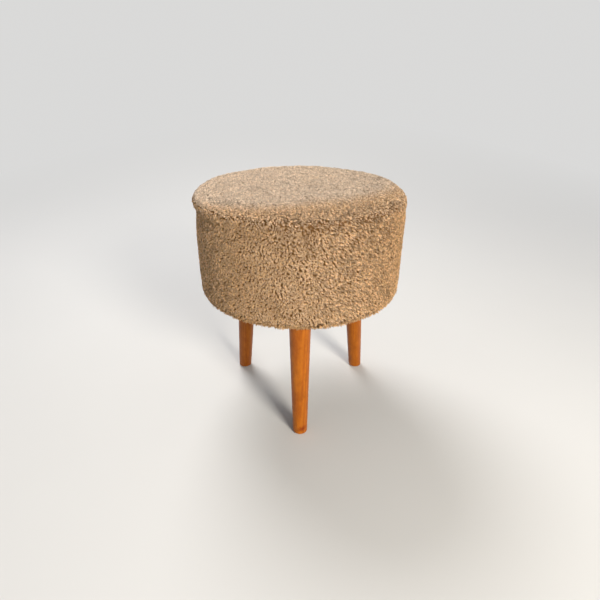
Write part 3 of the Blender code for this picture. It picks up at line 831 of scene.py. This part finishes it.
def pilePiece(name, points, tint):
    count, corners = points.shape[:2]
    sides, stations = pile["sides"], pile["stations"]
    index = numbered((count, corners))
    ring = index[:, 1:-1]
    after = np.roll(ring, -1, 1)
    lower = np.stack([after, ring, index[:, :1].repeat(sides, 1)], -1)
    upper = np.stack([ring, after, index[:, -1:].repeat(sides, 1)], -1)
    mesh = meshFrom(name, points.reshape(-1, 3), [lower.reshape(-1, 3), upper.reshape(-1, 3)], turnOut=False)
    # root to tip, clump value (random, less painted shade), strand, and the seat's pale share, painted light
    # from above
    lock = np.ones((count, corners, 4))
    lock[..., 0] = [stations[0]] + [stations[1]] * sides + [stations[2]]
    lock[..., 1:] = tint[:, None]
    setAttribute(mesh, "lock", 'FLOAT_COLOR', "color", lock)
    # a strip for each strand, as wide as its sides and as long as its stations, in a square of cells
    u = np.arange(sides) / sides
    step, waist = 1 / sides, np.full(sides, stations[1])
    lowerStrip = np.stack([u + step, waist, u, waist, u + step / 2, 0 * u], -1).reshape(-1, 3, 2)
    upperStrip = np.stack([u, waist, u + step, waist, u + step / 2, 0 * u + 1], -1).reshape(-1, 3, 2)
    cells, inset = math.ceil(math.sqrt(count)), pile["cellInset"]
    corner = np.stack(np.divmod(np.arange(count), cells)[::-1], -1)
    for mapName, shift, share in (("strand", tint[:, :2] * pile["uvSpread"], 1.0),
                                  ("OFBake", (corner + inset) / cells, (1 - 2 * inset) / cells)):
        strips = [(shift[:, None, None] + part * share).reshape(-1, 2) for part in (lowerStrip, upperStrip)]
        layer = mesh.uv_layers.new(name=mapName)
        layer.data.foreach_set("uv", np.concatenate(strips).astype(np.float32).ravel())
    addPiece(mesh, plush, "drum", "plush")


strandPoints, strandTint = strandShapes()
for number, group in enumerate(np.array_split(np.arange(len(strandPoints)), pile["pieces"]), 1):
    pilePiece("plush_pile_%d" % number, strandPoints[group], strandTint[group])
print("pile grown: %d strands" % len(strandPoints))


# stitching in the crease between the top and the band

stitch = dict(pitch=0.0045, length=0.0038, radius=0.0006, sides=6, stations=(0.0, 0.12, 0.5, 0.88, 1.0),
              proud=0.0003, blunt=0.35)


def seamStitches():
    # short rounded rods along the seam row: radius * sqrt of a parabola, bowed out a little in the middle
    girth = fullTurn * drum["radius"]
    count = round(girth / stitch["pitch"])
    t = np.array(stitch["stations"])[:, None]
    column = (np.arange(count) / count + (t - 0.5) * stitch["length"] / girth) * drum["columns"]
    row = np.full(column.size, float(seamRow))
    line, out = (onForm(values, row, column.ravel()).reshape(len(t), count, 3) for values in (form, formOut))
    out = unit(out)
    bow = np.sqrt(4 * t * (1 - t))[..., None]
    line = line + out * stitch["proud"] * bow
    other = np.cross(unit(np.gradient(line, axis=0)), out)
    ring = swung(circle(stitch["sides"]), out[:, :, None], other[:, :, None])
    points = line[:, :, None] + stitch["radius"] * np.maximum(bow, stitch["blunt"])[..., None] * ring
    mesh = rodsMesh("seam_stitches", points.transpose(1, 0, 2, 3))
    addPiece(mesh, thread, "drum", "thread", "rim_stitching")


seamStitches()
print("seam stitched")


# filling: wadding over foam on the seat, and a foam ring round the wall, all kept inside the cover's cloth

filling = dict(depth=0.0065, wadding=0.006, gap=0.0003, rows=24, sideRows=20, edge=0.004, thinnest=0.001)


def seatFilling():
    # wadding: the seat's own surface and the same one lower down; foam: the next one, with a flat underside
    top = seatRows(filling["depth"], filling["rows"])
    under = top - [0, 0, filling["wadding"]]
    mesh = surfaceMesh("seat_wadding_pad", np.concatenate([top, under[::-1]]), poles=(True, True))
    addPiece(mesh, wadding, "drum", "wadding", "seat_wadding")
    top = under - [0, 0, filling["gap"]]
    edge = top[-1:] - [0, 0, filling["edge"]]
    base = atLevel(top[-1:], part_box("seat_foam")[0].z)
    grid = np.concatenate([top, edge, base, base * [0, 0, 1]])
    mesh = surfaceMesh("seat_foam_pad", grid, poles=(True, True))
    addPiece(mesh, foam, "drum", "foam", "seat_foam")


def sideFilling():
    # the cover's section again, from below the rim to the base, closed by the wall's own radius
    low = max(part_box("side_foam")[0].z, underCover + filling["depth"])
    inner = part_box("drum_wall")[1].x + filling["gap"]
    z = between(seatEdge(filling["depth"]) - 2 * filling["edge"], low, steps(filling["sideRows"] - 1))
    outer = np.maximum(wallRadius(z, filling["depth"]), inner + filling["thinnest"])
    ends = z[[-1, 0]]
    grid = np.concatenate([ringPoints(outer, z), ringPoints(inner + 0 * ends, ends)])
    mesh = surfaceMesh("side_foam_pad", grid, ringRows=True)
    addPiece(mesh, foam, "drum", "foam", "side_foam")


seatFilling()
sideFilling()
print("filling made")


# legs, each with its bolt, washer and pad; their own axis runs down from the plate

# the per-leg stain multiplies the wood's colour: a darker stain on all three, lower still on the rear legs
# as painted shade under the drum
leg = dict(topRadius=0.0188, footRadius=0.0129, round=0.0025, hole=0.0043, holeDepth=0.0323, chamfer=0.0006,
           uneven=0.00005, waves=(900, 170), sides=96, bodyRows=48, stainAndShade=(0.90, 0.80, 0.73),
           grainShift=(0.05, 0.03, 0.9))
bolt = dict(radius=0.004, core=0.0033, pitch=0.00125, woodPitch=0.0032, plainFrom=0.002, plainTo=0.004,
            above=0.01815, below=0.0342, chamfer=0.001, point=0.008, endShare=0.75, tip=0.2, sides=32,
            rowsPerTurn=8)
washer = dict(inner=0.0045, outer=0.012, thick=0.0016, edge=0.00035, gap=0.0003, sides=72)
pad = dict(radius=0.0085, edge=0.0004, sides=72)


def legAxis(name):
    joint = joints["leg_%s_turn" % name]
    origin, axis = np.array(joint["pos_m"]), unit(np.array(joint["axis"]))
    return origin, axis, unit(atLevel(origin, 0))


def woodenLeg(name, number):
    # pilot hole, flat top, rounded shoulder, straight taper, rounded foot: radius by distance down the axis,
    # with every station slid along the axis a little so that the foot is cut level with the floor
    origin, axis, outward = legAxis(name)
    top = washer["thick"] + 2 * washer["gap"]
    length = (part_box("leg_" + name)[0].z - origin[2]) / axis[2] - top
    edge = leg["round"]
    bodyAlong = np.linspace(edge, length - edge, leg["bodyRows"])
    fast, slow = (np.sin(bodyAlong * wave + k * number) for k, wave in enumerate(leg["waves"], 1))
    bodyRadius = between(leg["topRadius"], leg["footRadius"], bodyAlong / length)
    bodyRadius = bodyRadius + leg["uneven"] * fast * slow
    hole, deep, chamfer = leg["hole"], leg["holeDepth"], leg["chamfer"]
    radius, along = np.concatenate([
        [(0, deep), (hole, deep), (hole, chamfer), (hole + chamfer, 0)],
        roundCorner(bodyRadius[0] - edge, edge, edge, -1, 6)[:-1],
        np.stack([bodyRadius, bodyAlong], -1),
        roundCorner(bodyRadius[-1] - edge, length - edge, edge, 0, 6)[1:],
        [(0, length)],
    ]).T
    grid = lathe(radius[:, None], along + top, origin, axis, outward, leg["sides"])
    tilt = grid[..., 2] - (origin[2] + (along + top) * axis[2])[:, None]
    grid = grid - (tilt * smoothStep(along / length)[:, None] / axis[2])[..., None] * axis
    mesh = surfaceMesh("leg_%s_wood" % name, grid, poles=(True, True))
    own = (pointsOf(mesh) - origin) @ np.stack([*axesAcross(axis, outward), axis], -1)
    setAttribute(mesh, "grain", 'FLOAT_VECTOR', "vector", own + number * np.array(leg["grainShift"]))
    setAttribute(mesh, "stainAndShade", 'FLOAT', "value", np.full(len(own), leg["stainAndShade"][number]))
    addPiece(mesh, stainedWood, "leg_" + name, "stained_wood", "leg_" + name)


def threadedBolt(name):
    # core + a ridge that climbs one pitch for each turn: machine thread, a plain collar, wood thread
    above, below, point = bolt["above"], bolt["below"], bolt["point"]
    along = np.linspace(-above, below, int((above + below) / bolt["pitch"] * bolt["rowsPerTurn"]))
    upper, lower = along < bolt["plainFrom"], along > bolt["plainTo"]
    ridge = ~(upper | lower)[:, None] * 1.0
    for pitch, inside in ((bolt["pitch"], upper), (bolt["woodPitch"], lower)):
        phase = (along[:, None] / pitch - circle(bolt["sides"]) / fullTurn) % 1
        ridge = ridge + (1 - np.abs(2 * phase - 1)) * inside[:, None]
    ends = np.clip(np.minimum((along + above) / bolt["chamfer"], (below - along) / point), 0, 1)
    taper = np.where(along > below - point, np.maximum(ends, bolt["tip"]), 1)
    taper = taper * between(bolt["endShare"], 1, ends)
    radius = between(bolt["core"], bolt["radius"], ridge) * taper[:, None]
    radius[[0, -1]] = 0
    grid = lathe(radius, along, *legAxis(name), bolt["sides"])
    mesh = surfaceMesh("hanger_bolt_%s_thread" % name, grid, poles=(True, True))
    addPiece(mesh, zinc, "leg_" + name, "zinc_steel", "hanger_bolt_" + name)


def legWasher(name):
    # section: a rectangle with its four corners turned on quarter circles
    edge = washer["edge"]
    inner, outer = washer["inner"] + edge, washer["outer"] - edge
    low, high = washer["gap"] + edge, washer["gap"] + washer["thick"] - edge
    corners = ((outer, low), (outer, high), (inner, high), (inner, low))
    section = np.concatenate([roundCorner(*corner, edge, k, 3) for k, corner in enumerate(corners, -1)])
    mesh = latheMesh("leg_washer_%s_ring" % name, section, *legAxis(name), washer["sides"])
    addPiece(mesh, zinc, "washer_" + name, "zinc_steel", "leg_washer_" + name)


def footPad(name):
    # a disc with both edges turned on quarter circles
    low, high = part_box("foot_pad_" + name)
    edge = pad["edge"]
    rim = pad["radius"] - edge
    section = np.concatenate([
        [(0, low.z), (rim / 2, low.z)], roundCorner(rim, low.z + edge, edge, -1, 4),
        roundCorner(rim, high.z - edge, edge, 0, 4), [(rim / 2, high.z), (0, high.z)],
    ])
    mesh = latheMesh("foot_pad_%s_felt" % name, section, boxMiddle(low, high), zWay, xWay, pad["sides"])
    addPiece(mesh, felt, "leg_" + name, "felt", "foot_pad_" + name)


for number, name in enumerate(legNames):
    woodenLeg(name, number)
    threadedBolt(name)
    legWasher(name)
    footPad(name)
print("legs turned")


# leg plates and their screws

plate = dict(half=0.028, thick=0.0025, corner=10, edge=0.0005, boss=0.014, bossEdge=0.0006, fillet=0.0012,
             bore=0.0044, boreEdge=0.0004, boreDepth=0.0003, sides=96)
screw = dict(radius=0.0038, height=0.0022, domeShare=0.62, domePower=3.2, domeRows=22, edge=0.0002,
             shank=0.0019, point=0.004, slotLong=0.0021, slotWide=0.00042, slotDeep=0.0013,
             wideFade=0.00025, longFade=0.0004, turnEach=1.9, sides=40)
midRound = 0.3      # the middle of a quarter circle lies this share of its radius in from both its sides


def legPlate(name):
    # loops round the leg's axis, from the bore over the slanted boss to a rounded square and back on top;
    # rounded square in polar form: half / (|cos|^n + |sin|^n)^(1/n)
    origin, axis, outward = legAxis(name)
    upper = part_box("leg_plate_" + name)[1].z
    lower = upper - plate["thick"]
    turn, n = circle(plate["sides"]), plate["corner"]
    first, second = axesAcross(axis, outward)
    slanted = swung(turn, first, second)
    crosswise = np.cross(zWay, outward)
    flat = swung(turn, outward, crosswise * np.sign(second @ crosswise))
    square = plate["half"] / (np.abs(np.cos(turn)) ** n + np.abs(np.sin(turn)) ** n) ** (1 / n)

    def carried(points, z):
        return points + axis * ((z - points[..., 2:]) / axis[2])

    bore, boss, edge, bossEdge, fillet = (plate[k] for k in ("bore", "boss", "edge", "bossEdge", "fillet"))
    bossMid, filletMid, mid = (midRound * r for r in (bossEdge, fillet, edge))
    loops = [carried(origin + r * slanted, z) for r, z in ((bore, upper), (bore, lower))]
    loops += [origin + r * slanted - axis * lift for r, lift in (
        (bore, plate["boreDepth"]), (bore + plate["boreEdge"], 0), (boss - bossEdge, 0),
        (boss - bossMid, bossMid), (boss, bossEdge))]
    loops += [carried(origin + r * slanted, z) for r, z in (
        (boss, lower - fillet), (boss + filletMid, lower - filletMid), (boss + fillet, lower))]
    loops += [atLevel(carried(origin, lower), z) + reach[:, None] * flat for reach, z in (
        (between(boss + fillet, square - edge, 0.5), lower), (square - edge, lower),
        (square - mid, lower + mid), (square, lower + edge), (square, upper - edge),
        (square - mid, upper - mid), (square - edge, upper), (square / 2, upper))]
    mesh = surfaceMesh("leg_plate_%s_steel" % name, np.stack(loops), ringRows=True)
    addPiece(mesh, zinc, "drum", "zinc_steel", "leg_plate_" + name)


def plateScrew(node, number):
    # domed head, seat, shank and point: rings by radius and height, with a cross pressed into the head where
    # a point lies near its two arms; each is driven home at its own angle
    low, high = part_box(node)
    seat, wide, edge, shank = low.z + screw["height"], screw["radius"], screw["edge"], screw["shank"]
    dome = steps(screw["domeRows"] - 1)
    domed = low.z + screw["domeShare"] * screw["height"] * dome ** screw["domePower"]
    head = np.hstack([wide * dome, domed])
    rest = [(wide, seat - edge), (wide - edge, seat), (shank, seat), (shank, high.z - screw["point"]),
            (0, high.z)]
    radius, height = np.concatenate([head, rest]).T[..., None]
    x, y = turned(radius, 0, circle(screw["sides"]))
    near, far = np.minimum(np.abs(x), np.abs(y)), np.maximum(np.abs(x), np.abs(y))
    cut = smoothStep((screw["slotWide"] - near) / screw["wideFade"])
    cut = cut * smoothStep((screw["slotLong"] - far) / screw["longFade"])
    cut[len(head):] = 0
    x, y = turned(x, y, number * screw["turnEach"])
    grid = np.stack([x, y, height + screw["slotDeep"] * cut], -1) + boxMiddle(low, high)
    addPiece(surfaceMesh(node + "_pan", grid, poles=(True, True)), zinc, "drum", "zinc_steel", node)


for name in legNames:
    legPlate(name)
    for number in range(1, 5):
        plateScrew("plate_screw_%s_%d" % (name, number), number + len(name))
print("plates and screws made")


# dust cover under the base, and the staples that hold it

dust = dict(rows=60, columns=216, rowPower=0.8, thick=0.0006, rise=0.006, drop=0.0008, sag=0.0009,
            sagReach=0.085, pucker=0.00035, wavy=0.0006, waves=7, wavyFrom=0.9, crumple=0.00012,
            crumpleSize=0.02)
staple = dict(count=36, crown=0.0095, wide=0.0011, thick=0.0005, leg=0.0025, round=0.0008, inFromEdge=0.005,
              seed=3, skew=0.10, stray=0.0006, pressed=0.1, sharp=40.0)


def dustCover():
    # a disc that drops in a smooth step over the hem, sags between the plates and puckers between staples
    edge = dustBox[1].x
    high, low = dustBox[1].z - dust["drop"], dustBox[0].z
    share, turn = steps(dust["rows"] - 1), circle(dust["columns"])[None]
    r = edge * share ** dust["rowPower"]
    lap, middle = fade(r, hemInner - dust["rise"], hemInner), fade(r, dust["sagReach"], 0)
    pucker = dust["pucker"] * (0.5 - 0.5 * np.cos(staple["count"] * turn))
    z = between(high, low, lap) - dust["sag"] * middle - pucker * lap
    r = r + dust["wavy"] * np.sin(dust["waves"] * turn + 1) * fade(share, dust["wavyFrom"], 1)
    flat = np.stack([r * np.cos(turn), r * np.sin(turn), 0 * r], -1)
    z = z + dust["crumple"] * softNoise(flat, dust["crumpleSize"], seed=9) * middle
    grid = flat + z[..., None] * zWay
    mesh = surfaceMesh("dust_cover_cloth", grid[::-1], poles=(False, True))
    piece = addPiece(mesh, dustCloth, "drum", "dust_cloth", "dust_cover")
    wall = piece.modifiers.new("Cloth thickness", 'SOLIDIFY')
    wall.thickness = dust["thick"]
    wall.offset = 1


def staples():
    # flat wire bent to a low bridge: a rectangle carried down, across and up again, copied round the edge
    half, sunk, corner = staple["crown"] / 2, staple["leg"], staple["round"]
    arc = roundCorner(half - corner, corner, corner, -1, 2)
    path = np.concatenate([[(-half, sunk)], arc[::-1] * [-1, 1], arc, [(half, sunk)]])[:, None]
    ahead = unit(np.gradient(path, axis=0))
    wide = np.array([-1, 1, 1, -1]) * staple["wide"] / 2
    thick = np.array([0, 0, 1, 1]) * staple["thick"]
    long, deep = path[..., 0] + ahead[..., 1] * thick, path[..., 1] - ahead[..., 0] * thick
    rng = np.random.default_rng(staple["seed"])
    turn = circle(staple["count"])
    skew = rng.normal(size=len(turn)) * staple["skew"]
    radius = dustBox[1].x - staple["inFromEdge"] + rng.normal(size=len(turn)) * staple["stray"]
    x, y = turned(long, wide, skew[:, None, None])
    x, y = turned(x, y - radius[:, None, None], turn[:, None, None])
    z = dustBox[0].z + deep + 0 * x - staple["thick"] * staple["pressed"]
    mesh = rodsMesh("dust_cover_staples", np.stack([x, y, z], -1))
    mesh.set_sharp_from_angle(angle=math.radians(staple["sharp"]))
    addPiece(mesh, zinc, "drum", "zinc_steel")


dustCover()
staples()
print("underside closed")


# boards, posts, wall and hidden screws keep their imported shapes

hiddenLooks = {"seat_board": plywood, "base_board": plywood, "drum_wall": hardboard, "post_screw": zinc,
               "post": pine}
for node, piece in frame["nodes"].items():
    found = [look for start, look in hiddenLooks.items() if node.startswith(start)]
    if found:
        piece.data.materials.clear()
        piece.data.materials.append(found[0])
